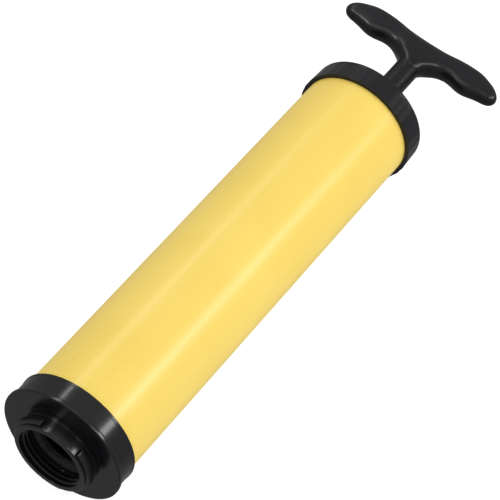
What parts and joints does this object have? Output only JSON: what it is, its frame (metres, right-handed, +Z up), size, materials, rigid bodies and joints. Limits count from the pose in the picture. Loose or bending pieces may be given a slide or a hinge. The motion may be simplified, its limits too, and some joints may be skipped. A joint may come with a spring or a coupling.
{
  "type": "double action hand pump",
  "caption": "Slim hand air pump with a yellow barrel, black end caps, a threaded outlet collar and a hollow rod with a T handle that drives an air-moving piston both ways.",
  "frame": {"origin": "centre of the outlet collar's mouth, on the pump's axis", "axes": "the pump lies on its side: +X from the outlet towards the handle, Y along the T handle's arms, +Z up"},
  "size_m": [0.2835, 0.082, 0.056],
  "materials": {
    "yellow_barrel": "satin",
    "black_gloss": "gloss",
    "black_satin": "satin",
    "rod_satin": "satin",
    "white_plastic": "matte",
    "black_rubber": "matte",
    "brown_rubber": "matte",
    "steel": "brushed"
  },
  "bodies": {
    "barrel": {"barrel": "yellow_barrel", "liner": "white_plastic", "front_cap": "black_gloss", "outlet_socket": "black_gloss", "socket_gasket": "black_rubber", "front_head": "black_satin", "valve_keeper": "black_satin", "front_gasket": "brown_rubber", "liner_seal_front": "black_rubber", "front_bumper": "black_rubber", "rear_cap": "black_satin", "rear_head": "white_plastic", "rear_gasket": "brown_rubber", "liner_seal_rear": "black_rubber", "rear_bumper": "black_rubber", "rod_seal": "black_rubber", "seal_washer": "steel", "rod_bush": "white_plastic"},
    "piston_ring": {"piston_seal": "black_rubber"},
    "rod": {"rod": "rod_satin", "rod_plug": "steel", "handle": "black_satin", "handle_pin": "steel", "piston_body": "white_plastic", "piston_plate": "white_plastic", "piston_bolt": "steel", "flap_stop": "white_plastic", "flap_keeper": "steel"},
    "front_flap": {"piston_flap_front": "brown_rubber"},
    "rear_flap": {"piston_flap_rear": "brown_rubber"},
    "outlet_valve": {"outlet_valve_disc": "brown_rubber"},
    "duct_valve": {"duct_valve_ring": "brown_rubber"}
  },
  "joints": [
    {"name": "rod_slide", "type": "slide", "parent": "barrel", "child": "piston_ring", "axis": [1, 0, 0], "range_m": [0, 0.158]},
    {"name": "handle_turn", "type": "hinge", "parent": "piston_ring", "child": "rod", "pos_m": [0.03, 0, 0], "axis": [1, 0, 0], "continuous": true},
    {"name": "front_flap_lift", "type": "slide", "parent": "rod", "child": "front_flap", "axis": [-1, 0, 0], "range_m": [0, 0.0011]},
    {"name": "rear_flap_lift", "type": "slide", "parent": "rod", "child": "rear_flap", "axis": [1, 0, 0], "range_m": [0, 0.0012]},
    {"name": "outlet_valve_lift", "type": "slide", "parent": "barrel", "child": "outlet_valve", "axis": [-1, 0, 0], "range_m": [0, 0.0012]},
    {"name": "duct_valve_lift", "type": "slide", "parent": "barrel", "child": "duct_valve", "axis": [-1, 0, 0], "range_m": [0, 0.0014]}
  ]
}
